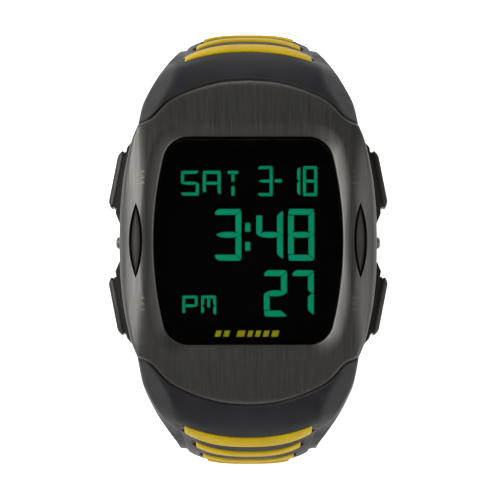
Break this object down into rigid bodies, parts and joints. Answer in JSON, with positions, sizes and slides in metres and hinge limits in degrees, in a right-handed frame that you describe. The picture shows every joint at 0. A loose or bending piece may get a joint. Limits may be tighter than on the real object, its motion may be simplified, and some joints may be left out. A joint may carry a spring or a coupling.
{
  "type": "digital water sports wristwatch",
  "caption": "Digital wristwatch for water sports with a metal bezel shell, side pushers and a moulded strap that hangs open, with pin buckle and keeper.",
  "frame": {"origin": "middle of the case back's outer face, which rests on the wrist", "axes": "+X towards 3 o'clock, +Y towards 12 o'clock along the strap, +Z out through the display"},
  "size_m": [0.0468, 0.074, 0.0749],
  "materials": {
    "case_resin": "matte black resin, fine grain",
    "bezel_metal": "gunmetal, brushed from 6 to 12 o'clock",
    "insert_rubber": "dark grey brown rubber",
    "screw_steel": "satin steel",
    "lens_glass": "clear mineral glass",
    "gasket_rubber": "black nitrile rubber",
    "mask_black": "printed black",
    "lcd_dark": "black polariser with green characters",
    "backlight": "pale light sheet",
    "zebra_rubber": "layered conductive rubber",
    "module_plastic": "ivory moulding",
    "board_green": "green solder mask",
    "chip_black": "black encapsulant",
    "battery_steel": "bright steel can",
    "contact_brass": "plated brass",
    "clip_steel": "spring steel",
    "back_steel": "brushed stainless steel",
    "pin_steel": "polished stainless steel",
    "pusher_metal": "gunmetal with brushed face",
    "strap_resin": "matte black moulded resin",
    "stripe_yellow": "mustard yellow resin",
    "buckle_metal": "dark satin steel"
  },
  "bodies": {
    "case": {"case_body": "case_resin", "bezel": "bezel_metal", "bezel_insert_left": "insert_rubber", "bezel_insert_right": "insert_rubber", "bezel_screws": "screw_steel", "lens": "lens_glass", "lens_gasket": "gasket_rubber", "display_mask": "mask_black", "lcd_panel": "lcd_dark", "backlight_panel": "backlight", "zebra_strips": "zebra_rubber", "module_frame": "module_plastic", "circuit_board": "board_green", "controller_chip": "chip_black", "quartz_crystal": "battery_steel", "switch_contacts": "contact_brass", "battery": "battery_steel", "battery_clip": "clip_steel", "buzzer_disc": "contact_brass", "case_back": "back_steel", "case_back_gasket": "gasket_rubber", "case_back_screws": "screw_steel", "spring_bar_upper": "pin_steel", "spring_bar_lower": "pin_steel", "pusher_spring_upper_right": "pin_steel", "pusher_spring_lower_right": "pin_steel", "pusher_spring_upper_left": "pin_steel", "pusher_spring_lower_left": "pin_steel"},
    "pusher_upper_right": {"pusher_upper_right": "pusher_metal", "pusher_seal_upper_right": "gasket_rubber", "pusher_clip_upper_right": "pin_steel"},
    "pusher_lower_right": {"pusher_lower_right": "pusher_metal", "pusher_seal_lower_right": "gasket_rubber", "pusher_clip_lower_right": "pin_steel"},
    "pusher_upper_left": {"pusher_upper_left": "pusher_metal", "pusher_seal_upper_left": "gasket_rubber", "pusher_clip_upper_left": "pin_steel"},
    "pusher_lower_left": {"pusher_lower_left": "pusher_metal", "pusher_seal_lower_left": "gasket_rubber", "pusher_clip_lower_left": "pin_steel"},
    "strap_buckle_half": {"strap_buckle_half": "strap_resin", "stripes_buckle_half": "stripe_yellow", "buckle_bar": "pin_steel"},
    "strap_tail_half": {"strap_tail_half": "strap_resin", "stripes_tail_half": "stripe_yellow"},
    "keeper": {"keeper_loop": "strap_resin"},
    "buckle_frame": {"buckle_frame": "buckle_metal"},
    "buckle_tang": {"buckle_tang": "pin_steel"}
  },
  "joints": [
    {"name": "press_upper_right", "type": "slide", "parent": "case", "child": "pusher_upper_right", "axis": [-0.9816, -0.1908, 0], "range_m": [0, 0.0009], "stiffness_N_per_m": 400, "springref_m": -0.0015, "deforming": ["pusher_spring_upper_right"]},
    {"name": "press_lower_right", "type": "slide", "parent": "case", "child": "pusher_lower_right", "axis": [-0.9816, 0.1908, 0], "range_m": [0, 0.0009], "stiffness_N_per_m": 400, "springref_m": -0.0015, "deforming": ["pusher_spring_lower_right"]},
    {"name": "press_upper_left", "type": "slide", "parent": "case", "child": "pusher_upper_left", "axis": [0.9816, -0.1908, 0], "range_m": [0, 0.0009], "stiffness_N_per_m": 400, "springref_m": -0.0015, "deforming": ["pusher_spring_upper_left"]},
    {"name": "press_lower_left", "type": "slide", "parent": "case", "child": "pusher_lower_left", "axis": [0.9816, 0.1908, 0], "range_m": [0, 0.0009], "stiffness_N_per_m": 400, "springref_m": -0.0015, "deforming": ["pusher_spring_lower_left"]},
    {"name": "strap_buckle_hinge", "type": "hinge", "parent": "case", "child": "strap_buckle_half", "pos_m": [0, 0.0214, 0.0036], "axis": [-1, 0, 0], "range_deg": [0, 10]},
    {"name": "strap_tail_hinge", "type": "hinge", "parent": "case", "child": "strap_tail_half", "pos_m": [0, -0.0214, 0.0036], "axis": [1, 0, 0], "range_deg": [0, 10]},
    {"name": "keeper_slide", "type": "hinge", "parent": "strap_buckle_half", "child": "keeper", "pos_m": [0, 0.00665, -0.00949], "axis": [1, 0, 0], "range_deg": [-8, 10]},
    {"name": "buckle_hinge", "type": "hinge", "parent": "strap_buckle_half", "child": "buckle_frame", "pos_m": [0, 0.01403, -0.03702], "axis": [1, 0, 0], "range_deg": [-40, 45]},
    {"name": "tang_hinge", "type": "hinge", "parent": "buckle_frame", "child": "buckle_tang", "pos_m": [0, 0.01403, -0.03702], "axis": [1, 0, 0], "range_deg": [0, 60]}
  ]
}
